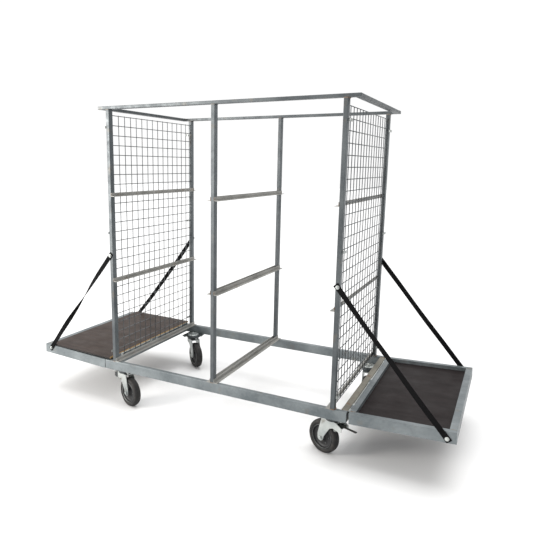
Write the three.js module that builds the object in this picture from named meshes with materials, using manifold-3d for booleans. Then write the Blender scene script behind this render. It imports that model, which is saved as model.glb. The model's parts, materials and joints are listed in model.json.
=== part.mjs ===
import * as THREE from 'three';
import Module from 'manifold-3d';
import { mergeVertices } from 'three/addons/utils/BufferGeometryUtils.js';

const wasm = await Module();
wasm.setup();

// All sizes in mm. X is the length of the cage, Y runs from front to back, Z is up, floor at z = 0.

// Base frame
const BASE_TOP = 255;
const BASE_HALF_LENGTH = 680;
const HALF_DEPTH = 410;
const RAIL_HEIGHT = 50;
const RAIL_WIDTH = 25;
const END_RAIL_WIDTH = 30;

// Posts from 30 x 20 tube and a top ring from 30 x 15 tube laid flat
const TUBE_WIDE = 30;
const POST_WIDTH = 20;
const TOP_RAIL_HEIGHT = 15;
const POST_HEIGHT = 1340;
const POST_X = { left: -615, mid: 0, right: 615 };
const TOP_HALF_LENGTH = 676;

// Tray angles
const ANGLE_LEG = 20;
const ANGLE_WALL = 3;
const TRAY_LEVELS = { low: 0, mid: 448, high: 900 };

// End meshes, set between the end posts: two layers of wire welded on a 50 mm grid. Every bar here
// stands for the wires on a 100 x 150 mm grid
const WIRE = 4;
const MESH_HALF_DEPTH = 379.7;
const MESH_WIRE_HALF_DEPTH = 375;
const MESH_BAR_STEP_Y = 150;
const MESH_BAR_STEP_Z = 100;
const MESH_FIRST_WIRE = 12.5;
const MESH_LAST_WIRE = 1312.5;
const MESH_STUB = { low: 10, high: 2.5 };

// Folding shelves
const SHELF_END = 1132;
const SHELF_TILT = THREE.MathUtils.degToRad(2.4);
const SHELF_HEIGHT = 50;
const SHELF_SIDE_WIDTH = 25;
const SHELF_OUTER_WIDTH = 30;
const PLY = 18;
const FIT_GAP = 0.3;
const RIGHT_AXIS = { x: 685, z: BASE_TOP - 3 };
const RIGHT_FRAME_START = 5;
const RIGHT_FRAME_TOP = 3;
const RIGHT_DECK_DROP = 18;
const LEDGE_WIDTH = 14;
const LEDGE_WALL = 3;
const LEFT_AXIS = { x: -645, z: BASE_TOP + 10 };
const LEFT_FRAME_START = 36;
const LEFT_FRAME_TOP = -12;
const LEFT_DECK_START = 5.2;
const LEFT_DECK_LENGTH = 434;
const LEFT_DECK_WALL = 9;
const LEFT_DECK_BOTTOM = -2;
const LEFT_DECK_SETTLE = THREE.MathUtils.degToRad(1.25);
const LEFT_DECK_HALF_DEPTH = 406;
const LEAF_HALF_WIDTH = 20;
const LEAF_BOTTOM = -8;
const LEAF_TOP = -3.2;
const LEAF_REACH = 62;
const PACKER_TOP = -3.8;

// Shelf hinges
const HINGE_Y = [-340, 0, 340];
const PIN_RADIUS = 2.5;
const BORE_RADIUS = 2.8;
const BARREL_RADIUS = 4.6;
const KNUCKLE_LENGTH = 40;
const BARREL_LENGTH = 20;
const BRACKET_DROP = 14;
const BRACKET_WALL = 5.4;
const PIN_SEGMENTS = 16;

// Support straps
const STRAP_WIDTH = 25;
const STRAP_WALL = 2;
const STRAP_GAP = 0.6;
const STRAP_TAIL = 14;
const STRAP_ENDS = {
  left: { post: { x: -620, z: BASE_TOP + 588 }, shelf: { x: -1084, z: BASE_TOP } },
  right: { post: { x: 616, z: BASE_TOP + 558 }, shelf: { x: 1095, z: BASE_TOP - 14 } },
};

// Castors
const CASTOR_TRAIL = 50;
const WHEEL_RADIUS = 80;
const TYRE_WIDTH = 40;
const TYRE_SHOULDER = 7;
const RIM_RADIUS = 58;
const HUB_RADIUS = 16;
const HUB_WIDTH = 46;
const WEB_WIDTH = 14;
const AXLE_RADIUS = 6;
const AXLE_HEAD_RADIUS = 10;
const AXLE_HEAD = 7;
const FORK_INNER = 24;
const FORK_WALL = 4;
const FORK_TOP = 182;
const CROWN_WALL = 6;
const RACE_TOP = 192;
const RACE_RADIUS = 36;
const PLATE_BOTTOM = 199;
const PLATE_LENGTH = 112;
const PLATE_WIDTH = 92;
const PLATE_RACE_RADIUS = 41;
const KINGPIN_RADIUS = 8;
const PEDAL_PIVOT = { u: -26, z: 160 };
const PEDAL_ROD_RADIUS = 3;
const PEDAL_BARREL_RADIUS = 7;
const PEDAL_HALF_WIDTH = 19;
const PEDAL_SHOULDER = 40;
const PEDAL_TONGUE_HALF_WIDTH = 6;
const PEDAL_REACH = 103;
const WHEEL_SEGMENTS = 32;
const CASTORS = {
  fl: { x: -588, y: -352, turn: -20, pedal: true },
  fr: { x: 605, y: -345, turn: 158, pedal: true },
  bl: { x: -573, y: 345, turn: -38, pedal: false },
  br: { x: 600, y: 345, turn: -86, pedal: false },
};

const COLOURS = {
  galvanised: 0x9aa09e,
  wire: 0xa6acaa,
  plywood: 0x4a3a33,
  webbing: 0x1c1c1e,
  castor_steel: 0xb5b8b6,
  wheel_core: 0x6f7476,
  tyre: 0x2b2c2e,
  pedal: 0x8b8f8e,
};

const X_AXIS = new THREE.Vector3(1, 0, 0);
const Y_AXIS = new THREE.Vector3(0, 1, 0);
const Z_AXIS = new THREE.Vector3(0, 0, 1);

function part(name, geometry, slot) {
  const material = new THREE.MeshStandardMaterial({
    color: COLOURS[slot],
    metalness: ['plywood', 'webbing', 'tyre', 'wheel_core'].includes(slot) ? 0 : 0.7,
    roughness: 0.6,
  });
  const mesh = new THREE.Mesh(geometry, material);
  mesh.name = name;
  return mesh;
}

function box(x0, x1, y0, y1, z0, z1) {
  const geometry = new THREE.BoxGeometry(x1 - x0, y1 - y0, z1 - z0);
  return geometry.translate((x0 + x1) / 2, (y0 + y1) / 2, (z0 + z1) / 2);
}

// Outline in the XZ plane, drawn out along Y between y0 and y1
function extrudeAlongY(outline, y0, y1) {
  const shape = new THREE.Shape(outline.map(([x, z]) => new THREE.Vector2(x, z)));
  const geometry = new THREE.ExtrudeGeometry(shape, { depth: y1 - y0, bevelEnabled: false });
  geometry.applyMatrix4(new THREE.Matrix4().makeBasis(X_AXIS, Z_AXIS, Y_AXIS.clone().negate()));
  return geometry.translate(0, y1, 0);
}

// Profile of [radius, height] pairs turned about Y
function turnAboutY(profile, segments) {
  return new THREE.LatheGeometry(profile.map(([r, h]) => new THREE.Vector2(r, h)), segments);
}

// The same, turned about Z
function turnAboutZ(profile, segments) {
  const swap = new THREE.Matrix4().makeBasis(X_AXIS, Z_AXIS, Y_AXIS.clone().negate());
  return turnAboutY(profile, segments).applyMatrix4(swap);
}

function drum(radius, low, high) {
  return [[0, low], [radius, low], [radius, high], [0, high]];
}

function toManifold(geometry) {
  const plain = geometry.clone();
  plain.deleteAttribute('normal');
  plain.deleteAttribute('uv');
  const merged = mergeVertices(plain, 1e-4);
  const index = merged.index.array;
  const triangles = [];
  for (let i = 0; i < index.length; i += 3) {
    const [a, b, c] = [index[i], index[i + 1], index[i + 2]];
    if (a !== b && b !== c && c !== a) triangles.push(a, b, c);
  }
  return new wasm.Manifold(new wasm.Mesh({
    numProp: 3,
    vertProperties: new Float32Array(merged.attributes.position.array),
    triVerts: new Uint32Array(triangles),
  }));
}

// Joins the geometries in add and cuts those in cut from the result
function combine(add, cut = []) {
  let solid = wasm.Manifold.union(add.map(toManifold));
  for (const geometry of cut) solid = solid.subtract(toManifold(geometry));
  const mesh = solid.getMesh();
  const indexed = new THREE.BufferGeometry();
  indexed.setAttribute('position', new THREE.BufferAttribute(mesh.vertProperties, 3));
  indexed.setIndex(new THREE.BufferAttribute(mesh.triVerts, 1));
  const result = indexed.toNonIndexed();
  result.computeVertexNormals();
  return result;
}

function baseFrame() {
  const low = BASE_TOP - RAIL_HEIGHT;
  const inner = HALF_DEPTH - RAIL_WIDTH;
  const endInner = BASE_HALF_LENGTH - END_RAIL_WIDTH;
  const rail = (name, ...size) => part(`base_rail_${name}`, box(...size, low, BASE_TOP), 'galvanised');
  return [
    rail('front', -BASE_HALF_LENGTH, BASE_HALF_LENGTH, -HALF_DEPTH, -inner),
    rail('back', -BASE_HALF_LENGTH, BASE_HALF_LENGTH, inner, HALF_DEPTH),
    rail('left', -BASE_HALF_LENGTH, -endInner, -inner, inner),
    rail('right', endInner, BASE_HALF_LENGTH, -inner, inner),
  ];
}

function posts() {
  const meshes = [];
  for (const [place, x] of Object.entries(POST_X)) {
    for (const [side, y0] of [['front', -HALF_DEPTH], ['back', HALF_DEPTH - TUBE_WIDE]]) {
      const geometry = box(x - POST_WIDTH / 2, x + POST_WIDTH / 2, y0, y0 + TUBE_WIDE,
        BASE_TOP, BASE_TOP + POST_HEIGHT);
      meshes.push(part(`post_${side}_${place}`, geometry, 'galvanised'));
    }
  }
  return meshes;
}

function topRing() {
  const low = BASE_TOP + POST_HEIGHT;
  const high = low + TOP_RAIL_HEIGHT;
  const inner = HALF_DEPTH - TUBE_WIDE;
  const endInner = TOP_HALF_LENGTH - TUBE_WIDE;
  const rail = (name, ...size) => part(`top_rail_${name}`, box(...size, low, high), 'galvanised');
  return [
    rail('front', -TOP_HALF_LENGTH, TOP_HALF_LENGTH, -HALF_DEPTH, -inner),
    rail('back', -TOP_HALF_LENGTH, TOP_HALF_LENGTH, inner, HALF_DEPTH),
    rail('left', -TOP_HALF_LENGTH, -endInner, -inner, inner),
    rail('right', endInner, TOP_HALF_LENGTH, -inner, inner),
  ];
}

// L section with its upright leg on x = face and its flange pointing along sign
function trayAngle(name, face, sign, level) {
  const z = BASE_TOP + level;
  const outline = [[0, 0], [ANGLE_LEG, 0], [ANGLE_LEG, ANGLE_WALL], [ANGLE_WALL, ANGLE_WALL],
    [ANGLE_WALL, ANGLE_LEG], [0, ANGLE_LEG]];
  const placed = outline.map(([u, h]) => [face + sign * u, z + h]);
  return part(name, extrudeAlongY(placed, -HALF_DEPTH, HALF_DEPTH), 'galvanised');
}

function trayAngles() {
  const half = POST_WIDTH / 2;
  const meshes = [];
  for (const [tier, level] of Object.entries(TRAY_LEVELS)) {
    meshes.push(trayAngle(`tray_angle_${tier}_bay1_left`, POST_X.left + half, 1, level));
    meshes.push(trayAngle(`tray_angle_${tier}_bay1_right`, POST_X.mid - half, -1, level));
    meshes.push(trayAngle(`tray_angle_${tier}_bay2_left`, POST_X.mid + half, 1, level));
    meshes.push(trayAngle(`tray_angle_${tier}_bay2_right`, POST_X.right - half, -1, level));
  }
  return meshes;
}

// Middles of the bars from first to last at the given step
function barCentres(first, last, step) {
  const count = Math.round((last - first) / step);
  return Array.from({ length: count + 1 }, (_, i) => first + i * step);
}

// Open spaces between bars, running out past both ends of the panel
function spaces(centres, low, high) {
  const edges = [low - 1, ...centres.flatMap((c) => [c - WIRE / 2, c + WIRE / 2]), high + 1];
  const pairs = [];
  for (let i = 0; i < edges.length; i += 2) pairs.push([edges[i], edges[i + 1]]);
  return pairs;
}

function endMesh(name, sign) {
  const x0 = sign * POST_X.right - WIRE;
  const x1 = sign * POST_X.right + WIRE;
  const low = BASE_TOP + MESH_FIRST_WIRE - MESH_STUB.low;
  const high = BASE_TOP + MESH_LAST_WIRE + MESH_STUB.high;
  const upright = barCentres(-MESH_WIRE_HALF_DEPTH, MESH_WIRE_HALF_DEPTH, MESH_BAR_STEP_Y);
  const level = barCentres(BASE_TOP + MESH_FIRST_WIRE, BASE_TOP + MESH_LAST_WIRE, MESH_BAR_STEP_Z);
  const holes = [];
  for (const [y0, y1] of spaces(upright, -MESH_HALF_DEPTH, MESH_HALF_DEPTH)) {
    for (const [z0, z1] of spaces(level, low, high)) {
      holes.push(box(x0 - 1, x1 + 1, y0, y1, z0, z1));
    }
  }
  const sheet = box(x0, x1, -MESH_HALF_DEPTH, MESH_HALF_DEPTH, low, high);
  return part(name, combine([sheet], holes), 'wire');
}

// Box of a shelf, measured outward from its hinge axis on the side given by sign
function shelfBox(sign, u0, u1, y0, y1, z0, z1) {
  return sign > 0 ? box(u0, u1, y0, y1, z0, z1) : box(-u1, -u0, y0, y1, z0, z1);
}

// Distance from hinge axis to the end of the shelf frame, so that its lower edge ends on SHELF_END
function shelfReach(axis, bottom) {
  const out = SHELF_END - Math.abs(axis.x);
  return (out + bottom * Math.sin(SHELF_TILT)) / Math.cos(SHELF_TILT);
}

function shelfMembers(sign, start, reach, top) {
  const low = top - SHELF_HEIGHT;
  const inner = HALF_DEPTH - SHELF_SIDE_WIDTH;
  return [
    shelfBox(sign, start, reach, -HALF_DEPTH, -inner, low, top),
    shelfBox(sign, start, reach, inner, HALF_DEPTH, low, top),
    shelfBox(sign, start, start + SHELF_SIDE_WIDTH, -inner - 1, inner + 1, low, top),
    shelfBox(sign, reach - SHELF_OUTER_WIDTH, reach, -inner - 1, inner + 1, low, top),
  ];
}

function knuckles() {
  const half = KNUCKLE_LENGTH / 2;
  return HINGE_Y.map((y) => turnAboutY(drum(BARREL_RADIUS, y - half, y + half), PIN_SEGMENTS));
}

function hingeBore() {
  return turnAboutY(drum(BORE_RADIUS, -HALF_DEPTH, HALF_DEPTH), PIN_SEGMENTS);
}

// Pin with the barrels that are fixed on it either side of each shelf knuckle
function hingePin(withBrackets) {
  const half = KNUCKLE_LENGTH / 2 + FIT_GAP;
  const end = half + BARREL_LENGTH;
  const solids = [turnAboutY(drum(PIN_RADIUS, HINGE_Y[0] - end, HINGE_Y[2] + end), PIN_SEGMENTS)];
  for (const y of HINGE_Y) {
    for (const [y0, y1] of [[y - end, y - half], [y + half, y + end]]) {
      solids.push(turnAboutY(drum(BARREL_RADIUS, y0, y1), PIN_SEGMENTS));
      if (withBrackets) {
        solids.push(box(-BARREL_RADIUS, BRACKET_WALL - BARREL_RADIUS, y0, y1, -BRACKET_DROP, 0));
      }
    }
  }
  return combine(solids);
}

function shelfGroup(name, sign, axis, meshes) {
  const group = new THREE.Group();
  group.name = name;
  group.position.set(axis.x, 0, axis.z);
  group.rotation.y = -sign * SHELF_TILT;
  group.add(...meshes);
  return group;
}

function rightShelf() {
  const bottom = RIGHT_FRAME_TOP - SHELF_HEIGHT;
  const reach = shelfReach(RIGHT_AXIS, bottom);
  const inner = HALF_DEPTH - SHELF_SIDE_WIDTH;
  const bay = [RIGHT_FRAME_START + SHELF_SIDE_WIDTH, reach - SHELF_OUTER_WIDTH];
  const deckTop = RIGHT_FRAME_TOP - RIGHT_DECK_DROP;
  const ledgeTop = deckTop - PLY - FIT_GAP;
  const ledges = [
    box(bay[0] - 1, bay[1] + 1, -inner - 1, -inner + LEDGE_WIDTH, ledgeTop - LEDGE_WALL, ledgeTop),
    box(bay[0] - 1, bay[1] + 1, inner - LEDGE_WIDTH, inner + 1, ledgeTop - LEDGE_WALL, ledgeTop),
  ];
  const webs = HINGE_Y.map((y) => box(0, RIGHT_FRAME_START + 1, y - KNUCKLE_LENGTH / 2,
    y + KNUCKLE_LENGTH / 2, -BARREL_RADIUS, RIGHT_FRAME_TOP));
  const frame = combine(
    [...shelfMembers(1, RIGHT_FRAME_START, reach, RIGHT_FRAME_TOP), ...ledges, ...webs, ...knuckles()],
    [hingeBore()],
  );
  const deck = box(bay[0] + FIT_GAP, bay[1] - FIT_GAP, -inner + FIT_GAP, inner - FIT_GAP,
    deckTop - PLY, deckTop);
  return shelfGroup('shelf_right', 1, RIGHT_AXIS, [
    part('shelf_frame_right', frame, 'galvanised'),
    part('shelf_deck_right', deck, 'plywood'),
  ]);
}

function leftShelf() {
  const bottom = LEFT_FRAME_TOP - SHELF_HEIGHT;
  const reach = shelfReach(LEFT_AXIS, bottom);
  const railEdge = BASE_HALF_LENGTH + LEFT_AXIS.x;
  const leaves = [];
  for (const y of HINGE_Y) {
    const [y0, y1] = [y - LEAF_HALF_WIDTH, y + LEAF_HALF_WIDTH];
    leaves.push(shelfBox(-1, -1, railEdge + 3, y0, y1, LEAF_BOTTOM, LEAF_TOP));
    leaves.push(shelfBox(-1, railEdge + 2, LEAF_REACH, y0, y1, LEFT_FRAME_TOP - 1, PACKER_TOP));
    leaves.push(shelfBox(-1, -2, 2, y0, y1, LEAF_BOTTOM + FIT_GAP, 0));
  }
  const frame = combine(
    [...shelfMembers(-1, LEFT_FRAME_START, reach, LEFT_FRAME_TOP), ...leaves, ...knuckles()],
    [hingeBore()],
  );
  const deckBox = box(-LEFT_DECK_LENGTH, 0, -LEFT_DECK_HALF_DEPTH, LEFT_DECK_HALF_DEPTH,
    0, LEFT_DECK_WALL);
  const deck = part('shelf_deck_left', deckBox, 'plywood');
  deck.position.set(-LEFT_DECK_START, 0, LEFT_DECK_BOTTOM);
  deck.rotation.y = -LEFT_DECK_SETTLE;
  return shelfGroup('shelf_left', -1, LEFT_AXIS, [
    part('shelf_frame_left', frame, 'galvanised'),
    deck,
  ]);
}

function hingePins() {
  const right = part('hinge_pin_right', hingePin(false), 'castor_steel');
  right.position.set(RIGHT_AXIS.x, 0, RIGHT_AXIS.z);
  const left = part('hinge_pin_left', hingePin(true), 'castor_steel');
  left.position.set(LEFT_AXIS.x, 0, LEFT_AXIS.z);
  return [right, left];
}

function strap(name, side, end) {
  const { post, shelf } = STRAP_ENDS[end];
  const half = Math.hypot(shelf.x - post.x, shelf.z - post.z) / 2 + STRAP_TAIL;
  const ys = [side * (HALF_DEPTH + STRAP_GAP), side * (HALF_DEPTH + STRAP_GAP + STRAP_WALL)];
  const [y0, y1] = ys.sort((a, b) => a - b);
  const mesh = part(name, box(-STRAP_WIDTH / 2, STRAP_WIDTH / 2, y0, y1, -half, half), 'webbing');
  mesh.position.set((post.x + shelf.x) / 2, 0, (post.z + shelf.z) / 2);
  mesh.rotation.y = Math.atan2(post.x - shelf.x, post.z - shelf.z);
  return mesh;
}

function straps() {
  return [
    strap('strap_front_left', -1, 'left'),
    strap('strap_front_right', -1, 'right'),
    strap('strap_back_left', 1, 'left'),
    strap('strap_back_right', 1, 'right'),
  ];
}

function castorPlate() {
  const plateTop = BASE_TOP - RAIL_HEIGHT - FIT_GAP;
  const plate = box(-PLATE_LENGTH / 2, PLATE_LENGTH / 2, -PLATE_WIDTH / 2, PLATE_WIDTH / 2,
    PLATE_BOTTOM, plateTop);
  const race = turnAboutZ(drum(PLATE_RACE_RADIUS, RACE_TOP + FIT_GAP, PLATE_BOTTOM + 1), WHEEL_SEGMENTS);
  const bore = turnAboutZ(drum(KINGPIN_RADIUS + FIT_GAP, RACE_TOP, BASE_TOP), PIN_SEGMENTS);
  return combine([plate, race], [bore]);
}

// Outline of one fork leg, from the crown down to the round eye of the axle
function forkLegOutline(braked) {
  const eye = 16;
  const nose = braked ? [[-50, 144], [-68, 148], [-66, 166], [-36, FORK_TOP]] : [[-36, 150], [-36, FORK_TOP]];
  const outline = [...nose, [46, FORK_TOP], [CASTOR_TRAIL + eye, 100]];
  for (let i = 0; i <= 8; i += 1) {
    const angle = -Math.PI * i / 8;
    outline.push([CASTOR_TRAIL + eye * Math.cos(angle), WHEEL_RADIUS + eye * Math.sin(angle)]);
  }
  outline.push([30, 92], [0, 141], [-18, 150]);
  return outline;
}

function castorFork(withRod) {
  const outer = FORK_INNER + FORK_WALL;
  const leg = forkLegOutline(withRod);
  const solids = [
    extrudeAlongY(leg, FORK_INNER, outer),
    extrudeAlongY(leg, -outer, -FORK_INNER),
    box(-36, 46, -outer, outer, FORK_TOP - CROWN_WALL, FORK_TOP),
    turnAboutZ(drum(RACE_RADIUS, FORK_TOP - 1, RACE_TOP), WHEEL_SEGMENTS),
    turnAboutZ(drum(KINGPIN_RADIUS, FORK_TOP, BASE_TOP - RAIL_HEIGHT - 2 * FIT_GAP), PIN_SEGMENTS),
  ];
  if (withRod) {
    const rod = turnAboutY(drum(PEDAL_ROD_RADIUS, -outer, outer), PIN_SEGMENTS);
    solids.push(rod.translate(PEDAL_PIVOT.u, 0, PEDAL_PIVOT.z));
  }
  const hole = turnAboutY(drum(AXLE_RADIUS + FIT_GAP, -outer - 1, outer + 1), PIN_SEGMENTS);
  return combine(solids, [hole.translate(CASTOR_TRAIL, 0, WHEEL_RADIUS)]);
}

function castorAxle() {
  const inside = FORK_INNER + FORK_WALL + FIT_GAP;
  const end = inside + AXLE_HEAD;
  return turnAboutY([[0, -end], [AXLE_HEAD_RADIUS, -end], [AXLE_HEAD_RADIUS, -inside],
    [AXLE_RADIUS, -inside], [AXLE_RADIUS, inside], [AXLE_HEAD_RADIUS, inside],
    [AXLE_HEAD_RADIUS, end], [0, end]], PIN_SEGMENTS);
}

function wheelHub() {
  const rim = TYRE_WIDTH / 2 - 2;
  const rimInner = RIM_RADIUS - 7;
  const web = WEB_WIDTH / 2;
  const end = HUB_WIDTH / 2;
  const body = turnAboutY([[0, -end], [HUB_RADIUS, -end], [HUB_RADIUS + 2, -web], [rimInner - 3, -web],
    [rimInner, -rim], [RIM_RADIUS, -rim], [RIM_RADIUS, rim], [rimInner, rim],
    [rimInner - 3, web], [HUB_RADIUS + 2, web], [HUB_RADIUS, end], [0, end]], WHEEL_SEGMENTS);
  return combine([body], [turnAboutY(drum(AXLE_RADIUS + FIT_GAP, -end - 1, end + 1), PIN_SEGMENTS)]);
}

function tyre() {
  const side = TYRE_WIDTH / 2;
  const tread = side - TYRE_SHOULDER;
  const shoulder = WHEEL_RADIUS - TYRE_SHOULDER;
  const body = turnAboutY([[0, -side], [shoulder, -side], [WHEEL_RADIUS - 2, -tread - 2],
    [WHEEL_RADIUS, -tread], [WHEEL_RADIUS, tread], [WHEEL_RADIUS - 2, tread + 2],
    [shoulder, side], [0, side]], WHEEL_SEGMENTS);
  return combine([body], [turnAboutY(drum(RIM_RADIUS + FIT_GAP, -side - 1, side + 1), WHEEL_SEGMENTS)]);
}

// Foot lever on the leading side of the fork, with a shoe that faces the tread
function brakePedal() {
  const { u, z } = PEDAL_PIVOT;
  const half = PEDAL_HALF_WIDTH;
  const neck = u - PEDAL_SHOULDER;
  const tip = u - PEDAL_REACH;
  const tread = [[u, z + 6], [neck, z + 6], [neck, z + 2], [u - 24, z + 2], [u, z - 2]];
  const tongue = [[neck + 6, z + 6], [tip, z + 6], [tip, z + 3], [neck + 6, z + 3]];
  const shoe = [[u - 4, z], [u - 4, z - 26], [u + 9, z - 26], [u + 9, z - 20], [u + 3, z - 18], [u + 4, z]];
  const barrel = turnAboutY(drum(PEDAL_BARREL_RADIUS, -half, half), PIN_SEGMENTS).translate(u, 0, z);
  const bore = turnAboutY(drum(PEDAL_ROD_RADIUS + FIT_GAP, -half - 1, half + 1), PIN_SEGMENTS);
  return combine(
    [
      extrudeAlongY(tread, -half, half),
      extrudeAlongY(tongue, -PEDAL_TONGUE_HALF_WIDTH, PEDAL_TONGUE_HALF_WIDTH),
      extrudeAlongY(shoe, -half, half),
      barrel,
    ],
    [bore.translate(u, 0, z)],
  );
}

function castor(key, { x, y, turn, pedal }) {
  const group = new THREE.Group();
  group.name = `castor_${key}`;
  group.position.set(x, y, 0);
  group.add(part(`castor_${key}_plate`, castorPlate(), 'castor_steel'));
  const swivel = new THREE.Group();
  swivel.rotation.z = THREE.MathUtils.degToRad(turn);
  swivel.add(part(`castor_${key}_fork`, castorFork(pedal), 'castor_steel'));
  const wheelParts = [
    part(`castor_${key}_axle`, castorAxle(), 'castor_steel'),
    part(`castor_${key}_hub`, wheelHub(), 'wheel_core'),
    part(`castor_${key}_tyre`, tyre(), 'tyre'),
  ];
  for (const mesh of wheelParts) mesh.position.set(CASTOR_TRAIL, 0, WHEEL_RADIUS);
  swivel.add(...wheelParts);
  if (pedal) swivel.add(part(`brake_pedal_${key}`, brakePedal(), 'pedal'));
  group.add(swivel);
  return group;
}

const cage = new THREE.Group();
cage.name = 'roll_cage_container';
cage.add(...baseFrame(), ...posts(), ...topRing(), ...trayAngles());
cage.add(endMesh('end_mesh_left', -1), endMesh('end_mesh_right', 1));
cage.add(rightShelf(), leftShelf(), ...hingePins(), ...straps());
for (const [key, settings] of Object.entries(CASTORS)) cage.add(castor(key, settings));

export default cage;
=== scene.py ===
import json
import math
import random

import bmesh
import bpy
from mathutils import Matrix, Vector
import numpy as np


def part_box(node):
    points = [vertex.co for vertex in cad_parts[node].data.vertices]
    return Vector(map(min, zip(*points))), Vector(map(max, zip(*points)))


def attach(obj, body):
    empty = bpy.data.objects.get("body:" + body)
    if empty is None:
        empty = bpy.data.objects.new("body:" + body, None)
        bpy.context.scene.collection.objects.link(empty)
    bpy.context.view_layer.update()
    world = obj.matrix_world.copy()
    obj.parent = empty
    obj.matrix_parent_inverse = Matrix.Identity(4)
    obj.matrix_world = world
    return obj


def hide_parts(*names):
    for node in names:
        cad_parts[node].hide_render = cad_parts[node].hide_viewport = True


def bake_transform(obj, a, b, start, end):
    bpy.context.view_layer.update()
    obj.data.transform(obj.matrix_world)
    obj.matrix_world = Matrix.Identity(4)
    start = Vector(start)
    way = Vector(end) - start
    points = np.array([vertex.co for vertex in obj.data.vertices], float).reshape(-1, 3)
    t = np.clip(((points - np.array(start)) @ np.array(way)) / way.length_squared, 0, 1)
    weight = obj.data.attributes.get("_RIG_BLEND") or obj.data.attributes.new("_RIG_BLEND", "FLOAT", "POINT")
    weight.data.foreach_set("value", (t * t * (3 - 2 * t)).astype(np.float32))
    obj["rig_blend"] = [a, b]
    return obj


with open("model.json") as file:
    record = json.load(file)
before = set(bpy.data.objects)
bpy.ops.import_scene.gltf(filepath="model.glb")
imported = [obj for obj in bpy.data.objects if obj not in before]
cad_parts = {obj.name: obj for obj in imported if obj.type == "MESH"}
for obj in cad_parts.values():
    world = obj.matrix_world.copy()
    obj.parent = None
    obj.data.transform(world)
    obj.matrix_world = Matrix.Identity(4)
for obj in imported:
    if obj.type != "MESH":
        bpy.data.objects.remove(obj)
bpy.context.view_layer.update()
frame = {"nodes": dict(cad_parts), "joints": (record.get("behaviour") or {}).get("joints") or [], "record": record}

random.seed(7)
TURN = 2 * math.pi

# ---------------------------------------------------------------- sizes, in metres
BASE_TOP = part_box("base_rail_front")[1].z
TOP_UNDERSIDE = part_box("top_rail_front")[0].z
HALF_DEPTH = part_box("base_rail_back")[1].y
WIRE_RADIUS = 0.0020
WIRE_STEP = 0.050
WIRE_FIRST = 0.0125
WIRE_ROWS = 27
WIRE_COLUMNS = 16
WIRE_HALF_SPAN = 0.375
WIRE_HALF_REACH = 0.3797
STRAP_WIDTH = 0.025
STRAP_WALL = 0.002
STRAP_FACE = HALF_DEPTH + 0.0016
STRAP_ENDS = {
    "left": ((-0.620, BASE_TOP + 0.588), (-1.084, BASE_TOP)),
    "right": ((0.616, BASE_TOP + 0.558), (1.095, BASE_TOP - 0.014)),
}
STRAP_STEPS = 96
STRAP_TAIL = 0.015
FOLD_STEPS = 12
STITCH_ROWS = 4
STITCHES = 9
CASTORS = ("fl", "fr", "bl", "br")
CROWN_UNDERSIDE = 0.1815
TONGUE_START = 0.072
POST_X = 0.615
POST_OUTER = 0.625
POST_HALF_WIDTH = 0.0100
POST_DEPTH = 0.030
TAB_HEIGHTS = (0.055, 0.708, 1.252)
TAB_PLACES = (-0.398, 0.374)
SHELF_END = 1.132
SHELF_TILT = math.radians(2.4)
SHELF_SPAN = {"left": (0.036, -0.012), "right": (0.005, 0.003)}     # start and top, from the hinge
BEVEL_ANGLE = math.radians(40)
BEVEL_WIDTHS = {"galvanised": 0.0022, "plywood": 0.0006, "castor_steel": 0.0009, "pedal": 0.0008}
THIN_BEVEL = 0.0007
OTHER_BEVEL = 0.0006
FLOOR_HALF_SIZE = 30.0
CAMERA_PLACE = (1.2556, -2.6200, 1.3208)
CAMERA_ANGLES = (27.94, -10.16, 0.51)     # yaw, pitch and roll, in degrees
CAMERA_LENS = 36.53
CAMERA_SHIFT = (0.0729, -0.0079)


# ---------------------------------------------------------------- materials
def new_material(name):
    material = bpy.data.materials.new(name)
    material.use_nodes = True
    tree = material.node_tree
    return material, tree, tree.nodes["Principled BSDF"]


def node(tree, kind, inputs=None, **settings):
    made = tree.nodes.new(kind)
    for key, value in settings.items():
        setattr(made, key, value)
    for key, value in (inputs or {}).items():
        if isinstance(value, bpy.types.NodeSocket):
            tree.links.new(value, made.inputs[key])
        else:
            made.inputs[key].default_value = value
    return made


def noise(tree, coords, scale, detail=5.0):
    inputs = {"Vector": coords, "Scale": scale, "Detail": detail}
    return node(tree, "ShaderNodeTexNoise", inputs).outputs["Fac"]


def remap(tree, value, low, high, to_low=0.0, to_high=1.0):
    inputs = {"Value": value, "From Min": low, "From Max": high, "To Min": to_low, "To Max": to_high}
    return node(tree, "ShaderNodeMapRange", inputs).outputs["Result"]


def blend_colours(tree, share, first, second):
    made = node(tree, "ShaderNodeMix", data_type="RGBA")
    for socket, value in zip((made.inputs[0], made.inputs[6], made.inputs[7]), (share, first, second)):
        if isinstance(value, bpy.types.NodeSocket):
            tree.links.new(value, socket)
        else:
            socket.default_value = value if isinstance(value, float) else (*value, 1.0)
    return made.outputs[2]


def bump(tree, shader, height, distance, strength=1.0):
    inputs = {"Height": height, "Distance": distance, "Strength": strength}
    made = node(tree, "ShaderNodeBump", inputs)
    tree.links.new(made.outputs["Normal"], shader.inputs["Normal"])


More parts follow.
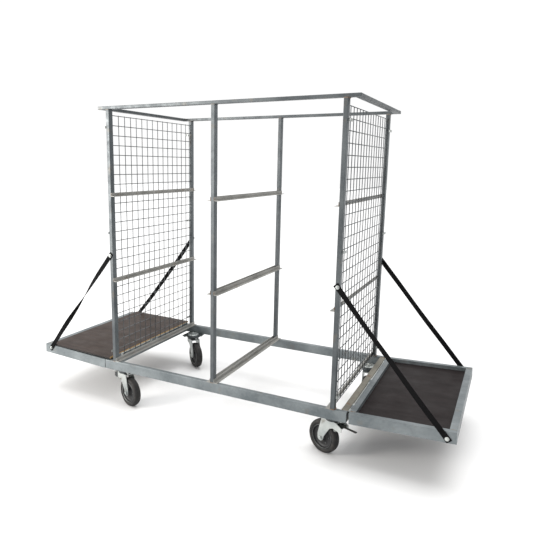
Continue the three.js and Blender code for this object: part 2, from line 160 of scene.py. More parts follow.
def metal(name, dark, light, metallic, roughness, stain, stain_share, spangle=0.25):
    """Zinc-coated steel: cloudy tone, crystal spangle, brown stains and a little unevenness."""
    material, tree, shader = new_material(name)
    coords = node(tree, "ShaderNodeTexCoord").outputs["Object"]
    clouds = remap(tree, noise(tree, coords, 7.0, 8.0), 0.35, 0.68)
    crystals = node(tree, "ShaderNodeTexVoronoi", {"Vector": coords, "Scale": 95.0}).outputs["Color"]
    crystal_tone = node(tree, "ShaderNodeRGBToBW", {"Color": crystals}).outputs["Val"]
    tone = node(tree, "ShaderNodeMix", {"Factor": spangle}, data_type="FLOAT")
    tree.links.new(clouds, tone.inputs[2])
    tree.links.new(crystal_tone, tone.inputs[3])
    colour = blend_colours(tree, tone.outputs[0], dark, light)
    patches = remap(tree, noise(tree, coords, 19.0, 9.0), 0.60, 0.76, 0.0, stain_share)
    colour = blend_colours(tree, patches, colour, stain)
    tree.links.new(colour, shader.inputs["Base Color"])
    shader.inputs["Metallic"].default_value = metallic
    rough = remap(tree, noise(tree, coords, 40.0, 6.0), 0.3, 0.7, roughness - 0.08, roughness + 0.10)
    tree.links.new(rough, shader.inputs["Roughness"])
    bump(tree, shader, noise(tree, coords, 260.0, 4.0), 0.0004, 0.35)
    return material


def weld_material():
    material, tree, shader = new_material("weld")
    coords = node(tree, "ShaderNodeTexCoord").outputs["Object"]
    rust = remap(tree, noise(tree, coords, 60.0, 8.0), 0.42, 0.62)
    colour = blend_colours(tree, rust, (0.20, 0.19, 0.17), (0.13, 0.062, 0.026))
    tree.links.new(colour, shader.inputs["Base Color"])
    shader.inputs["Metallic"].default_value = 0.3
    shader.inputs["Roughness"].default_value = 0.6
    bump(tree, shader, noise(tree, coords, 500.0, 3.0), 0.001, 0.6)
    return material


def film_material(name, dark, light, dust_colour, shine):
    """Dark phenolic film with a fine pressed net, wear streaks and dust."""
    material, tree, shader = new_material(name)
    coords = node(tree, "ShaderNodeTexCoord").outputs["Object"]
    mapping = {"Vector": coords, "Scale": (3.0, 22.0, 3.0)}
    stretched = node(tree, "ShaderNodeMapping", mapping).outputs["Vector"]
    streaks = remap(tree, noise(tree, stretched, 2.2, 9.0), 0.35, 0.75)
    colour = blend_colours(tree, streaks, dark, light)
    dust = remap(tree, noise(tree, coords, 26.0, 10.0), 0.58, 0.80, 0.0, 0.30)
    colour = blend_colours(tree, dust, colour, dust_colour)
    tree.links.new(colour, shader.inputs["Base Color"])
    shader.inputs["Specular IOR Level"].default_value = shine
    rough = remap(tree, noise(tree, coords, 11.0, 6.0), 0.3, 0.7, 0.42, 0.58)
    tree.links.new(rough, shader.inputs["Roughness"])
    net = node(tree, "ShaderNodeTexVoronoi", {"Vector": coords, "Scale": 420.0},
               feature="DISTANCE_TO_EDGE").outputs["Distance"]
    bump(tree, shader, net, 0.0006, 0.25)
    return material


def edge_material(name, pale, dark, glue):
    """Sawn plywood edge: thin veneers with glue lines, and end-grain specks."""
    material, tree, shader = new_material(name)
    coords = node(tree, "ShaderNodeTexCoord").outputs["Object"]
    layers = node(tree, "ShaderNodeTexWave", {"Vector": coords, "Scale": 110.0, "Distortion": 0.4},
                  bands_direction="Z").outputs["Fac"]
    grain = remap(tree, noise(tree, coords, 90.0, 8.0), 0.35, 0.7)
    colour = blend_colours(tree, grain, pale, dark)
    colour = blend_colours(tree, remap(tree, layers, 0.75, 1.0, 0.0, 0.8), colour, glue)
    tree.links.new(colour, shader.inputs["Base Color"])
    shader.inputs["Roughness"].default_value = 0.75
    bump(tree, shader, layers, 0.0008, 0.5)
    return material


def webbing_material():
    material, tree, shader = new_material("webbing")
    across_along = node(tree, "ShaderNodeUVMap").outputs["UV"]
    ribs = node(tree, "ShaderNodeTexWave", {"Vector": across_along, "Scale": 190.0},
                bands_direction="Y").outputs["Fac"]
    yarns = node(tree, "ShaderNodeTexWave", {"Vector": across_along, "Scale": 150.0},
                 bands_direction="X").outputs["Fac"]
    weave = node(tree, "ShaderNodeMath", {0: ribs, 1: yarns}, operation="MULTIPLY").outputs[0]
    coords = node(tree, "ShaderNodeTexCoord").outputs["Object"]
    fuzz = noise(tree, coords, 300.0, 4.0)
    shade = node(tree, "ShaderNodeMath", {0: weave, 1: fuzz}, operation="MULTIPLY").outputs[0]
    colour = blend_colours(tree, shade, (0.0015, 0.0015, 0.0018), (0.010, 0.010, 0.011))
    tree.links.new(colour, shader.inputs["Base Color"])
    shader.inputs["Roughness"].default_value = 0.9
    shader.inputs["Specular IOR Level"].default_value = 0.12
    bump(tree, shader, weave, 0.0006, 0.7)
    return material


def rubber_material():
    material, tree, shader = new_material("tyre")
    coords = node(tree, "ShaderNodeTexCoord").outputs["Object"]
    dust = remap(tree, noise(tree, coords, 34.0, 9.0), 0.45, 0.75)
    colour = blend_colours(tree, dust, (0.0028, 0.0026, 0.0025), (0.0170, 0.0132, 0.0105))
    tree.links.new(colour, shader.inputs["Base Color"])
    rough = remap(tree, noise(tree, coords, 60.0, 5.0), 0.3, 0.7, 0.62, 0.85)
    tree.links.new(rough, shader.inputs["Roughness"])
    bump(tree, shader, noise(tree, coords, 420.0, 5.0), 0.0008, 0.5)
    return material


ZINC = metal("galvanised", (0.082, 0.097, 0.104), (0.185, 0.205, 0.212), 0.5, 0.42,
             (0.13, 0.11, 0.085), 0.45)
WARM_ZINC = metal("galvanised_angle", (0.170, 0.170, 0.158), (0.310, 0.306, 0.288), 0.4, 0.5,
                  (0.17, 0.12, 0.075), 0.6)
DIRTY_ZINC = metal("galvanised_trodden", (0.095, 0.088, 0.070), (0.185, 0.175, 0.145), 0.35, 0.6,
                   (0.11, 0.055, 0.025), 0.85)
WIRE = metal("wire", (0.050, 0.055, 0.059), (0.120, 0.129, 0.134), 0.5, 0.45, (0.09, 0.06, 0.04), 0.5)
POST_ZINC = metal("galvanised_post", (0.042, 0.049, 0.054), (0.094, 0.104, 0.108), 0.5, 0.44,
                  (0.12, 0.10, 0.075), 0.5)
# Darker copy of the galvanised zinc for the posts' faces along the cage: painted shade on the sides turned away
# from the light.
POST_SIDE_SHADE = metal("galvanised_side_painted_shade", (0.050, 0.060, 0.066), (0.112, 0.127, 0.134), 0.5, 0.45,
                  (0.10, 0.085, 0.065), 0.4)
FORK_ZINC = ((0.22, 0.24, 0.24), (0.52, 0.54, 0.52), 0.5, 0.4, (0.10, 0.075, 0.045), 0.85, 0.15)
BRIGHT = metal("castor_steel", *FORK_ZINC)
# Dark zinc for the castor plates, swivel races and fork crowns: painted shade under the base rails.
CASTOR_SHADE = metal("castor_plate_painted_shade", (0.020, 0.024, 0.026), (0.085, 0.095, 0.10), 0.5, 0.45,
             (0.05, 0.03, 0.02), 0.6)
RIM = metal("wheel_rim", (0.030, 0.032, 0.033), (0.20, 0.205, 0.20), 0.6, 0.4, (0.03, 0.02, 0.015), 0.9)
# Near-black pressed hub disc: painted shade in the recess of the wheel.
HUB_DISC_SHADE = metal("wheel_core", (0.006, 0.006, 0.007), (0.022, 0.022, 0.023), 0.2, 0.55,
             (0.05, 0.04, 0.03), 0.5)
PEDAL = metal("pedal", (0.06, 0.064, 0.062), (0.26, 0.27, 0.26), 0.6, 0.45, (0.03, 0.022, 0.018), 0.9)
BLACK_STEEL = metal("pedal_tongue", (0.008, 0.008, 0.008), (0.030, 0.029, 0.028), 0.2, 0.5,
                    (0.05, 0.03, 0.02), 0.5)
WELD = weld_material()
FILM_LEFT = film_material("film_left", (0.0222, 0.0148, 0.0116), (0.0388, 0.0268, 0.0217),
                          (0.085, 0.063, 0.050), 0.15)
FILM_RIGHT = film_material("film_right", (0.0081, 0.0056, 0.0056), (0.0144, 0.0108, 0.0108),
                           (0.030, 0.024, 0.023), 0.08)
RAW_EDGE = edge_material("ply_raw_edge", (0.66, 0.42, 0.17), (0.40, 0.24, 0.09), (0.10, 0.06, 0.035))
# Sealed red-brown ply edges, made much darker than their own colour as painted shade in the gap under the deck and
# on the lit edge faces.
SEALED_EDGE_SHADE = edge_material("ply_sealed_edge_painted_shade", (0.0100, 0.0036, 0.0026), (0.0055, 0.0024, 0.0019),
                          (0.0040, 0.0020, 0.0015))
WEBBING = webbing_material()
RUBBER = rubber_material()
LOOKS = {"galvanised": ZINC, "wire": WIRE, "plywood": FILM_RIGHT, "webbing": WEBBING,
         "castor_steel": BRIGHT, "wheel_core": HUB_DISC_SHADE, "tyre": RUBBER, "pedal": PEDAL}


# ---------------------------------------------------------------- mesh builders
def build(name, vertices, faces, material, slot, body, smooth=True, replaces=()):
    mesh = bpy.data.meshes.new(name)
    mesh.from_pydata([tuple(v) for v in vertices], [], faces)
    shape = bmesh.new()
    shape.from_mesh(mesh)
    bmesh.ops.remove_doubles(shape, verts=shape.verts, dist=1e-7)
    bmesh.ops.recalc_face_normals(shape, faces=shape.faces)
    shape.to_mesh(mesh)
    shape.free()
    mesh.materials.append(material)
    for polygon in mesh.polygons:
        polygon.use_smooth = smooth
    made = bpy.data.objects.new(name, mesh)
    bpy.context.scene.collection.objects.link(made)
    if replaces:
        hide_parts(*replaces)
    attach(made, body)
    return made


def bevel(shape, width, segments=3):
    modifier = shape.modifiers.new("edges", "BEVEL")
    modifier.width = width
    modifier.segments = segments
    modifier.limit_method = "ANGLE"
    modifier.angle_limit = BEVEL_ANGLE
    modifier.harden_normals = True


def frame_axes(axis):
    """Two unit vectors square to axis."""
    axis = Vector(axis).normalized()
    first = axis.cross(Vector((0, 0, 1)) if abs(axis.z) < 0.9 else Vector((1, 0, 0))).normalized()
    return axis, first, axis.cross(first)


class Shape:
    """Vertices and faces of one piece, gathered from simple forms."""

    def __init__(self):
        self.vertices = []
        self.faces = []

    def ring_stack(self, rings, closed_loop=False):
        start, count = len(self.vertices), len(rings[0])
        for ring in rings:
            self.vertices.extend(ring)
        pairs = list(zip(range(len(rings)), range(1, len(rings))))
        if closed_loop:
            pairs.append((len(rings) - 1, 0))
        for low, high in pairs:
            for i in range(count):
                j = (i + 1) % count
                self.faces.append((start + low * count + i, start + low * count + j,
                                   start + high * count + j, start + high * count + i))
        if not closed_loop:
            self.faces.append(tuple(range(start, start + count)))
            last = start + (len(rings) - 1) * count
            self.faces.append(tuple(range(last, last + count)))

    def turned(self, centre, axis, profile, segments=32, closed_loop=False):
        """Profile of (radius, height) pairs turned about axis."""
        axis, u, v = frame_axes(axis)
        rings = []
        for radius, height in profile:
            ring = []
            for i in range(segments):
                angle = TURN * i / segments
                ring.append(Vector(centre) + axis * height
                            + (u * math.cos(angle) + v * math.sin(angle)) * max(radius, 1e-5))
            rings.append(ring)
        self.ring_stack(rings, closed_loop=closed_loop)

    def rod(self, a, b, radius, sides=8):
        a, b = Vector(a), Vector(b)
        length = (b - a).length
        self.turned(a, b - a, [(radius, 0), (radius, length)], sides)

    def hexagon(self, centre, axis, radius, height):
        edge = radius * 0.10
        self.turned(centre, axis, [(radius - edge, 0), (radius, edge), (radius, height - edge),
                                   (radius - edge, height)], 6)

    def block(self, low, high):
        (x0, y0, z0), (x1, y1, z1) = low, high
        self.ring_stack([[Vector(p) for p in ((x0, y0, z), (x1, y0, z), (x1, y1, z), (x0, y1, z))]
                         for z in (z0, z1)])

    def bead(self, a, b, radius):
        """Weld bead: overlapping ripples from a to b."""
        a, b = Vector(a), Vector(b)
        axis, u, v = frame_axes(b - a)
        steps = max(4, int((b - a).length / 0.0015))
        rings = []
        for i in range(steps + 1):
            ripple = 0.78 + 0.22 * abs(math.sin(i * 1.3)) + random.uniform(-0.06, 0.06)
            taper = min(1.0, 0.35 + 0.4 * min(i, steps - i))
            r = radius * ripple * taper
            centre = a.lerp(b, i / steps)
            rings.append([centre + (u * math.cos(TURN * k / 7) + v * math.sin(TURN * k / 7)) * r
                          for k in range(7)])
        self.ring_stack(rings)

    def make(self, name, material, slot, body, **options):
        return build(name, self.vertices, self.faces, material, slot, body, **options)


# ---------------------------------------------------------------- CAD pieces and their finish
def look_of(name, slot):
    if name.startswith("tray_angle"):
        return WARM_ZINC
    if name.startswith(("post", "top_rail")):
        return POST_ZINC
    if name == "base_rail_right":
        return DIRTY_ZINC
    if name == "shelf_deck_left":
        return FILM_LEFT
    # The castor plates take the painted shade under the rail.
    if name.startswith("castor") and name.endswith("plate"):
        return CASTOR_SHADE
    return LOOKS[slot]


def dress_pedals():
    """Black front left pedal, and a black tongue beyond the zinc-coated plate of the front right one."""
    for key in ("fl", "fr"):
        king = Vector(joint(f"swivel_{key}_turn")["pos_m"])
        mesh = frame["nodes"][f"brake_pedal_{key}"].data
        mesh.materials.append(BLACK_STEEL)
        for polygon in mesh.polygons:
            from_king = math.hypot(polygon.center.x - king.x, polygon.center.y - king.y)
            if key == "fl" or from_king > TONGUE_START:
                polygon.material_index = 1


def fork_shade_material(key):
    """Fork zinc that turns dark on the ears behind the swivel, which hold the brake: painted shade under the brake
    lever.
    """
    king = Vector(joint(f"swivel_{key}_turn")["pos_m"])
    trail = Vector(joint(f"wheel_{key}_spin")["pos_m"]) - king
    trail.z = 0
    trail.normalize()
    material = metal(f"castor_steel_{key}", *FORK_ZINC)
    tree = material.node_tree
    base = tree.nodes["Principled BSDF"].inputs["Base Color"]
    coords = node(tree, "ShaderNodeTexCoord").outputs["Object"]
    offset = node(tree, "ShaderNodeVectorMath", {0: coords, 1: tuple(king)},
                  operation="SUBTRACT").outputs["Vector"]
    along = node(tree, "ShaderNodeVectorMath", {0: offset, 1: tuple(trail)},
                 operation="DOT_PRODUCT").outputs["Value"]
    # Painted shade: the fork darkens behind the swivel, under the brake lever.
    shade_behind = remap(tree, along, -0.040, -0.028, 1.0, 0.0)
    colour = blend_colours(tree, shade_behind, base.links[0].from_socket, (0.030, 0.033, 0.034))
    tree.links.new(colour, base)
    return material


def dress_sides():
    """Painted shade: darker zinc on the posts' faces along the cage and on the fork crowns, and the darkened brake
    ears.
    """
    for name, piece in frame["nodes"].items():
        if name.startswith("post"):
            # Painted shade on the posts' faces that point along the cage.
            piece.data.materials.append(POST_SIDE_SHADE)
            for polygon in piece.data.polygons:
                if abs(polygon.normal.x) > 0.5:
                    polygon.material_index = 1
        elif name.endswith("fork"):
            if name == "castor_fl_fork":
                piece.data.materials[0] = fork_shade_material("fl")
            # The fork crowns take the painted shade under the plate.
            piece.data.materials.append(CASTOR_SHADE)
            for polygon in piece.data.polygons:
                if polygon.center.z > CROWN_UNDERSIDE:
                    polygon.material_index = 1


def dress_cad():
    slots = {row["node"]: row["material_slot"] for row in frame["record"]["subparts"]}
    for name, piece in frame["nodes"].items():
        slot = slots[name]
        piece.data.materials.clear()
        piece.data.materials.append(look_of(name, slot))
        for attribute in [a for a in piece.data.attributes if a.name == "custom_normal"]:
            piece.data.attributes.remove(attribute)
        for polygon in piece.data.polygons:
            polygon.use_smooth = True
        weld = piece.modifiers.new("join", "WELD")
        weld.merge_threshold = 1e-6
        thin = name.startswith(("tray_angle", "hinge_pin"))
        width = THIN_BEVEL if thin else BEVEL_WIDTHS.get(slot, OTHER_BEVEL)
        bevel(piece, width, 2 if slot == "plywood" else 3)


def dress_decks():
    """Film on the faces, sealed red-brown edges darkened further as painted shade, and one edge left as sawn on
    the left deck.
    """
    for name in ("shelf_deck_left", "shelf_deck_right"):
        mesh = frame["nodes"][name].data
        mesh.materials.append(SEALED_EDGE_SHADE)
        mesh.materials.append(RAW_EDGE)
        for polygon in mesh.polygons:
            if abs(polygon.normal.z) > 0.5:
                polygon.material_index = 0
            elif name == "shelf_deck_left" and polygon.normal.x > 0.7:
                polygon.material_index = 2
            else:
                polygon.material_index = 1


# ---------------------------------------------------------------- welded wire ends
def wire_panel(side):
    sign = -1 if side == "left" else 1
    low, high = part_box(f"end_mesh_{side}")
    inner = (high.x if sign < 0 else low.x) + sign * WIRE_RADIUS
    outer = (low.x if sign < 0 else high.x) - sign * WIRE_RADIUS
    shape = Shape()
    for row in range(WIRE_ROWS):
        z = BASE_TOP + WIRE_FIRST + row * WIRE_STEP + random.uniform(-0.0006, 0.0006)
        shape.rod((outer, -WIRE_HALF_REACH, z), (outer, WIRE_HALF_REACH, z), WIRE_RADIUS)
    for column in range(WIRE_COLUMNS):
        y = -WIRE_HALF_SPAN + column * WIRE_STEP + random.uniform(-0.0006, 0.0006)
        shape.rod((inner, y, low.z), (inner, y, high.z), WIRE_RADIUS)
    middle = (inner + outer) / 2
    for row in range(WIRE_ROWS):
        for column in range(WIRE_COLUMNS):
            y = -WIRE_HALF_SPAN + column * WIRE_STEP
            z = BASE_TOP + WIRE_FIRST + row * WIRE_STEP
            shape.block((middle - 0.0012, y - 0.0016, z - 0.0016),
                        (middle + 0.0012, y + 0.0016, z + 0.0016))
    shape.make(f"wire_panel_{side}", WIRE, "wire", "frame", replaces=[f"end_mesh_{side}"])


def mesh_tabs():
    """Short strips that clip the wire ends to the posts."""
    gap, inside, outside, half_height = 0.0002, 0.0086, 0.0105, 0.006
    shape = Shape()
    for sign in (-1, 1):
        face = POST_OUTER * sign
        for height in TAB_HEIGHTS:
            low, high = BASE_TOP + height - half_height, BASE_TOP + height + half_height
            for y in TAB_PLACES:
                xs = sorted((face + sign * gap, face + sign * outside))
                shape.block((xs[0], y, low), (xs[1], y + 0.003, high))
                xs = sorted((face + sign * inside, face + sign * outside))
                shape.block((xs[0], y - 0.008, low), (xs[1], y + 0.030, high))
    made = shape.make("mesh_tabs", BRIGHT, "castor_steel", "frame", smooth=False)
    bevel(made, 0.0006, 2)


# ---------------------------------------------------------------- weld seams
def post_welds(shape):
    """Beads at the foot and the head of each post, and beside the end posts."""
    for x, end in ((-POST_X, -1), (0.0, 0), (POST_X, 1)):
        for side in (-1, 1):
            face = side * HALF_DEPTH
            inner = side * (HALF_DEPTH - POST_DEPTH)
            for z in (BASE_TOP + 0.001, TOP_UNDERSIDE - 0.001):
                left, right = x - POST_HALF_WIDTH, x + POST_HALF_WIDTH
                shape.bead((left, face, z), (right, face, z), 0.0022)
                shape.bead((left, inner, z), (right, inner, z), 0.0026)
                if end:
                    beside = x + end * 0.0105
                    shape.bead((beside, face - side * 0.003, z), (beside, inner, z), 0.0030)


def corner_welds(shape):
    """Beads where the end rails of the base and of the top ring meet the long rails."""
    base_x, base_y, base_top = 0.650, 0.385, 0.2552
    ring_x, ring_y, ring_top = 0.646, 0.380, 1.6102
    for sx in (-1, 1):
        for sy in (-1, 1):
            x, y, over = sx * base_x, sy * base_y, sy * 0.3852
            shape.bead((x, y, 0.209), (x, y, 0.253), 0.0028)
            shape.bead((sx * 0.652, over, base_top), (sx * 0.678, over, base_top), 0.0020)
            x, y, over = sx * ring_x, sy * ring_y, sy * 0.3802
            shape.bead((x, y, 1.596), (x, y, 1.609), 0.0022)
            shape.bead((sx * 0.648, over, ring_top), (sx * 0.675, over, ring_top), 0.0016)


def angle_welds(shape):
    """Beads at both ends of the middle and high tray angles."""
    for tier in ("mid", "high"):
        for place in ("bay1_left", "bay1_right", "bay2_left", "bay2_right"):
            low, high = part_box(f"tray_angle_{tier}_{place}")
            edge = low.x if place.endswith("left") else high.x
            for y in (-HALF_DEPTH, HALF_DEPTH):
                shape.bead((edge, y, low.z + 0.001), (edge, y, high.z - 0.001), 0.0018)
                inner = y - math.copysign(0.0305, y)
                shape.bead((edge, inner, low.z), (edge, inner, high.z), 0.0024)


def frame_welds():
    shape = Shape()
    post_welds(shape)
    corner_welds(shape)
    angle_welds(shape)
    shape.make("frame_welds", WELD, "galvanised", "frame")


def shelf_welds(side):
    """Beads at the four corners of a shelf frame, in the shelf's own tilted directions."""
    shape = Shape()
    sign = -1 if side == "left" else 1
    pivot = Vector(joint(f"shelf_{side}_fold")["pos_m"])
    start, top = SHELF_SPAN[side]
    rise, run = math.sin(SHELF_TILT), math.cos(SHELF_TILT)
    reach = (SHELF_END - abs(pivot.x) + (top - 0.050) * rise) / run

    def place(u, y, z):
        return pivot + Vector((sign * (u * run - z * rise), y, u * rise + z * run))

    inner_ends, outer_ends = (start + 0.002, start + 0.024), (reach - 0.028, reach - 0.002)
    for u, (near, far) in ((start + 0.025, inner_ends), (reach - 0.030, outer_ends)):
        for y in (-0.385, 0.385):
            shape.bead(place(u, y, top - 0.048), place(u, y, top - 0.002), 0.0026)
            shape.bead(place(near, y, top), place(far, y, top), 0.0016)
    shape.make(f"shelf_welds_{side}", WELD, "galvanised", f"shelf_{side}")


# ---------------------------------------------------------------- straps
def ribbon(name, points, across, width, body):
    """Webbing along points; across gives the width direction at each."""
    edge_shift = 0.05
    section = [(-0.5, 0.0), (-0.47, 0.5), (0.47, 0.5), (0.5, 0.0), (0.47, -0.5), (-0.47, -0.5)]
    vertices, faces, places = [], [], []
    length = 0.0
    for i, point in enumerate(points):
        ahead = points[min(i + 1, len(points) - 1)] - points[max(i - 1, 0)]
        normal = ahead.normalized().cross(across[i]).normalized()
        if i:
            length += (point - points[i - 1]).length
        for share, lift in section:
            vertices.append(point + across[i] * share * width + normal * lift * STRAP_WALL)
            places.append((share * width + edge_shift, length))
    count = len(section)
    for i in range(len(points) - 1):
        for k in range(count):
            m = (k + 1) % count
            faces.append((i * count + k, i * count + m, (i + 1) * count + m, (i + 1) * count + k))
    faces.append(tuple(range(count)))
    faces.append(tuple(range((len(points) - 1) * count, len(points) * count)))
    mesh = bpy.data.meshes.new(name)
    mesh.from_pydata([tuple(v) for v in vertices], [], faces)
    layer = mesh.uv_layers.new(name="across_along")
    for loop in mesh.loops:
        layer.data[loop.index].uv = places[loop.vertex_index]
    shape = bmesh.new()
    shape.from_mesh(mesh)
    bmesh.ops.recalc_face_normals(shape, faces=shape.faces)
    shape.to_mesh(mesh)
    shape.free()
    mesh.materials.append(WEBBING)
    made = bpy.data.objects.new(name, mesh)
    bpy.context.scene.collection.objects.link(made)
    if body:
        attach(made, body)
    return made


def smooth_step(t):
    t = max(0.0, min(1.0, t))
    return t * t * (3 - 2 * t)


def strap_route(post, shelf, outward, twist, sway, lean):
    """Points along a strap, and the way its width lies at each."""
    along = (shelf - post).normalized()
    flat = along.cross(Vector((0, 1, 0))).normalized()
    length = (shelf - post).length
    points, across = [], []
    for i in range(STRAP_STEPS + 1):
        s = -STRAP_TAIL + (length + 2 * STRAP_TAIL) * i / STRAP_STEPS
        t = min(max(s / length, 0.0), 1.0)
        bow = math.sin(math.pi * t)
        lift = 0.0035 * math.sin(TURN * 1.5 * t) * bow
        sag = Vector((0, 0, -sway * bow))
        points.append(post + along * s + sag + outward * (0.004 * bow + lift))
        angle = twist * math.pi * smooth_step((t - 0.08) / 0.84) + lean * bow * (1.6 - 1.5 * t)
        across.append(flat * math.cos(angle) + outward * math.sin(angle))
    return points, across


def strap_bolt(name, anchor, outward, body):
    seat = anchor + outward * 0.0032
    bolt = Shape()
    bolt.turned(seat, outward, [(0.0, 0.0), (0.0090, 0.0), (0.0090, 0.0014), (0.0, 0.0016)], 28)
    bolt.hexagon(seat + outward * 0.0014, outward, 0.0066, 0.0048)
    bolt.turned(seat + outward * 0.0066, outward,
                [(0.0, 0.0), (0.0040, 0.0), (0.0036, 0.0016), (0.0, 0.0018)], 16)
    made = bolt.make(name, BRIGHT, "castor_steel", body, smooth=False)
    bevel(made, 0.0004, 2)


def strap_end(name, label, anchor, way, flat, outward, body):
    """The turned-back end of a strap, with its bolt and its rows of stitches."""
    fold = []
    for k in range(FOLD_STEPS + 1):
        lift = 0.0021 + 0.0004 * math.sin(k)
        fold.append(anchor - way * 0.014 + way * 0.062 * k / FOLD_STEPS + outward * lift)
    ribbon(f"{name}_fold_{label}", fold, [flat] * len(fold), STRAP_WIDTH * 0.98, body)
    strap_bolt(f"{name}_bolt_{label}", anchor, outward, body)
    stitch = Shape()
    for row in range(STITCH_ROWS):
        for k in range(STITCHES):
            on_strap = way * (0.026 + row * 0.005) + flat * (-0.009 + k * 0.00225)
            at = anchor + on_strap + outward * 0.0034
            stitch.rod(at, at + flat * 0.0014, 0.00035, 5)
    stitch.make(f"{name}_stitches_{label}", WEBBING, "webbing", body)


def strap(side, place, twist, sway, lean):
    """One strap from its post to its shelf; twist counts half turns."""
    sy = -1 if place == "front" else 1
    (px, pz), (sx, sz) = STRAP_ENDS[side]
    post, shelf = Vector((px, sy * STRAP_FACE, pz)), Vector((sx, sy * STRAP_FACE, sz))
    along = (shelf - post).normalized()
    flat = along.cross(Vector((0, 1, 0))).normalized()
    outward = Vector((0, sy, 0))
    name, body = f"webbing_{place}_{side}", f"shelf_{side}"
    points, across = strap_route(post, shelf, outward, twist, sway, lean)
    main = ribbon(name, points, across, STRAP_WIDTH, None)
    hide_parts(f"strap_{place}_{side}")
    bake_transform(main, "frame", body, start=post + along * 0.06, end=shelf - along * 0.05)
    strap_end(name, "post", post, along, flat, outward, "frame")
    strap_end(name, "shelf", shelf, -along, flat, outward, body)


# ---------------------------------------------------------------- castors
def joint(name):
    return next(j for j in frame["joints"] if j["name"] == name)


def castor_wheel(key, centre, axis):
    """Tyre, pressed disc and the two rolled rims."""
    body = f"wheel_{key}"
    tyre = Shape()
    wall = [(0.0586, 0.0170), (0.0615, 0.0188), (0.0670, 0.0197), (0.0720, 0.0194), (0.0758, 0.0172),
            (0.0782, 0.0135), (0.0795, 0.0085), (0.0800, 0.0040)]
    profile = [(r, -h) for r, h in wall] + [(r, h) for r, h in reversed(wall)]
    tyre.turned(centre, axis, profile, 96, closed_loop=True)
    tyre.make(f"castor_{key}_tread", RUBBER, "tyre", body, replaces=[f"castor_{key}_tyre"])
    disc = Shape()
    half = [(0.0580, 0.0165), (0.0560, 0.0172), (0.0545, 0.0160), (0.0535, 0.0110), (0.0500, 0.0066),
            (0.0440, 0.0052), (0.0250, 0.0052), (0.0205, 0.0080), (0.0180, 0.0160), (0.0165, 0.0225),
            (0.0072, 0.0230)]
    profile = half + [(r, -h) for r, h in reversed(half)]
    disc.turned(centre, axis, profile, 72, closed_loop=True)
    # The pressed disc is near black: painted shade in the wheel's recess.
    disc.make(f"castor_{key}_disc", HUB_DISC_SHADE, "wheel_core", body, replaces=[f"castor_{key}_hub"])
    lip = [(0.0572, 0.0164), (0.0570, 0.0182), (0.0552, 0.0186), (0.0538, 0.0172), (0.0530, 0.0120),
           (0.0550, 0.0118)]
    for side, label in ((-1, "in"), (1, "out")):
        rim = Shape()
        rim.turned(centre, axis * side, lip, 72, closed_loop=True)
        rim.make(f"castor_{key}_rim_{label}", RIM, "wheel_core", body)


def castor_rivets(key, centre, axis):
    """Six rivets through the disc, headed on both sides."""
    head = [(0.0, 0.0), (0.0042, 0.0), (0.0040, 0.0016), (0.0022, 0.0028), (0.0, 0.0032)]
    rivets = Shape()
    axis, u, v = frame_axes(axis)
    for k in range(6):
        spoke = u * math.cos(TURN * k / 6) + v * math.sin(TURN * k / 6)
        for side in (-1, 1):
            rivets.turned(centre + spoke * 0.034 + axis * side * 0.0052, axis * side, head, 16)
    rivets.make(f"castor_{key}_rivets", RIM, "wheel_core", f"wheel_{key}")


def castor_axle(key, centre, axis):
    """Axle bolt with a washer and a nut outside each cheek of the fork."""
    nuts = Shape()
    washer = [(0.0, 0.0), (0.0125, 0.0), (0.0125, 0.0014), (0.0, 0.0014)]
    for side in (-1, 1):
        outside = centre + axis * side * 0.0283
        nuts.turned(outside, axis * side, washer, 28)
        nuts.hexagon(outside + axis * side * 0.0012, axis * side, 0.0100, 0.0056)
    shank = [(0.0, 0.0), (0.0058, 0.0), (0.0058, 0.070), (0.0, 0.0705)]
    nuts.turned(centre - axis * 0.034, axis, shank, 24)
    made = nuts.make(f"castor_{key}_axle_nuts", BRIGHT, "castor_steel", f"swivel_{key}",
                     smooth=False, replaces=[f"castor_{key}_axle"])
    bevel(made, 0.0004, 2)


def castor_swivel(key, king):
    """Swivel race under the plate, painted dark as shade, the pressed dome above it and the kingpin nut."""
    rim = [(0.0362, 0.1915), (0.0402, 0.1905), (0.0430, 0.1930), (0.0436, 0.1960), (0.0424, 0.1988),
           (0.0362, 0.1988)]
    race = Shape()
    race.turned(Vector((king.x, king.y, 0)), (0, 0, 1), rim, 64, closed_loop=True)
    race.make(f"castor_{key}_race", CASTOR_SHADE, "castor_steel", "frame")
    pressing = [(0.0, 0.0), (0.0375, 0.0), (0.0372, 0.0030), (0.0330, 0.0068), (0.0290, 0.0075),
                (0.0250, 0.0062), (0.0200, 0.0040), (0.0160, 0.0042), (0.0, 0.0042)]
    dome = Shape()
    dome.turned(Vector((king.x, king.y, 0.2046)), (0, 0, 1), pressing, 64)
    dome.make(f"castor_{key}_dome", BRIGHT, "castor_steel", "frame")
    king_nut = Shape()
    king_nut.hexagon(Vector((king.x, king.y, 0.2086)), (0, 0, 1), 0.0125, 0.0095)
    king_nut.turned(Vector((king.x, king.y, 0.2180)), (0, 0, 1),
                    [(0.0, 0.0), (0.0065, 0.0), (0.0060, 0.0035), (0.0, 0.0040)], 20)
    made = king_nut.make(f"castor_{key}_king_nut", BRIGHT, "castor_steel", "frame", smooth=False)
    bevel(made, 0.0005, 2)


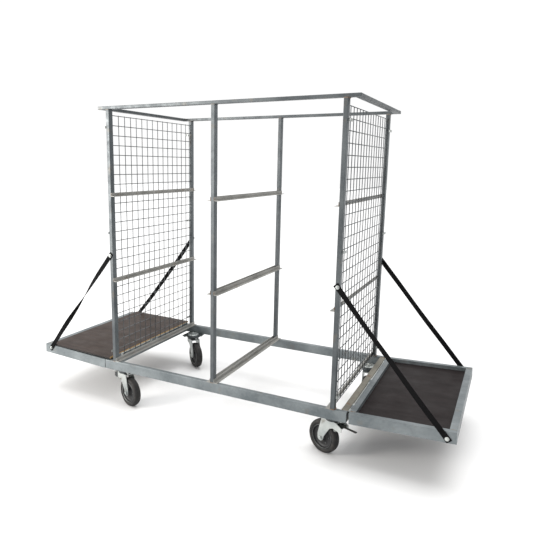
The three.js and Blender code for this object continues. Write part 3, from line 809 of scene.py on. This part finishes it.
def castor_bolts(key, king):
    """Washer, nut and bolt end under each corner of the plate."""
    down = (0, 0, -1)
    washer = [(0.0, 0.0), (0.0090, 0.0), (0.0090, 0.0014), (0.0, 0.0014)]
    bolt_end = [(0.0, 0.0), (0.0038, 0.0), (0.0038, 0.0040), (0.0, 0.0044)]
    bolts = Shape()
    for dx in (-0.045, 0.045):
        for dy in (-0.035, 0.035):
            at = Vector((king.x + dx, king.y + dy, 0.1990))
            bolts.turned(at, down, washer, 24)
            bolts.hexagon(at + Vector((0, 0, -0.0012)), down, 0.0075, 0.0055)
            bolts.turned(at + Vector((0, 0, -0.0060)), down, bolt_end, 16)
    made = bolts.make(f"castor_{key}_bolts", BRIGHT, "castor_steel", "frame", smooth=False)
    bevel(made, 0.0004, 2)


def castor(key):
    king = Vector(joint(f"swivel_{key}_turn")["pos_m"])
    spin = joint(f"wheel_{key}_spin")
    centre, axis = Vector(spin["pos_m"]), Vector(spin["axis"]).normalized()
    castor_wheel(key, centre, axis)
    castor_rivets(key, centre, axis)
    castor_axle(key, centre, axis)
    castor_swivel(key, king)
    castor_bolts(key, king)


# ---------------------------------------------------------------- room
def floor():
    mesh = bpy.data.meshes.new("floor")
    size = FLOOR_HALF_SIZE
    corners = [(-size, -size, 0), (size, -size, 0), (size, size, 0), (-size, size, 0)]
    mesh.from_pydata(corners, [], [(0, 1, 2, 3)])
    material, tree, shader = new_material("floor")
    coords = node(tree, "ShaderNodeTexCoord").outputs["Object"]
    colour = blend_colours(tree, noise(tree, coords, 1.5, 3.0), (0.61, 0.61, 0.61), (0.64, 0.64, 0.64))
    tree.links.new(colour, shader.inputs["Base Color"])
    shader.inputs["Roughness"].default_value = 0.9
    shader.inputs["Specular IOR Level"].default_value = 0.1
    mesh.materials.append(material)
    made = bpy.data.objects.new("floor", mesh)
    bpy.context.scene.collection.objects.link(made)


def studio():
    """White surroundings, one very soft sun overhead and a warm fill from the front left."""
    world = bpy.data.worlds.new("studio")
    bpy.context.scene.world = world
    world.use_nodes = True
    backdrop = world.node_tree.nodes["Background"]
    backdrop.inputs["Color"].default_value = (1.0, 1.0, 1.0, 1.0)
    backdrop.inputs["Strength"].default_value = 1.02

    sky = bpy.data.lights.new("overhead", "SUN")
    sky.energy = 2.7
    sky.angle = math.radians(48)
    lamp = bpy.data.objects.new("overhead", sky)
    lamp.rotation_euler = (math.radians(-6), math.radians(3), 0)
    bpy.context.scene.collection.objects.link(lamp)

    fill = bpy.data.lights.new("left_fill", "AREA")
    fill.shape = "SQUARE"
    fill.size = 1.6
    fill.energy = 230.0
    fill.color = (1.0, 0.97, 0.93)
    place, target = Vector((-3.0, -3.2, 1.5)), Vector((-0.6, -0.4, 0.4))
    lamp = bpy.data.objects.new("left_fill", fill)
    lamp.location = place
    lamp.rotation_euler = (target - place).to_track_quat("-Z", "Y").to_euler()
    bpy.context.scene.collection.objects.link(lamp)


def camera():
    yaw, pitch, roll = (math.radians(angle) for angle in CAMERA_ANGLES)
    ahead = Vector((-math.sin(yaw) * math.cos(pitch), math.cos(yaw) * math.cos(pitch), math.sin(pitch)))
    right = Vector((math.cos(yaw), math.sin(yaw), 0))
    up = right.cross(ahead)
    level_right = right * math.cos(roll) + up * math.sin(roll)
    level_up = up * math.cos(roll) - right * math.sin(roll)
    data = bpy.data.cameras.new("camera")
    data.sensor_width = 36.0
    data.lens = CAMERA_LENS
    data.shift_x, data.shift_y = CAMERA_SHIFT
    made = bpy.data.objects.new("camera", data)
    made.matrix_world = Matrix.Translation(CAMERA_PLACE) @ Matrix(
        (level_right, level_up, -ahead)).transposed().to_4x4()
    bpy.context.scene.collection.objects.link(made)
    bpy.context.scene.camera = made


dress_cad()
dress_decks()
dress_pedals()
dress_sides()
for side in ("left", "right"):
    wire_panel(side)
    shelf_welds(side)
mesh_tabs()
frame_welds()
strap("left", "front", 1, 0.0, 0.0)
strap("left", "back", 0, 0.012, 0.5)
strap("right", "front", 0, 0.004, 0.32)
strap("right", "back", 0, 0.004, 0.6)
for key in CASTORS:
    castor(key)
floor()
studio()
camera()
bpy.context.scene.view_settings.view_transform = "Standard"
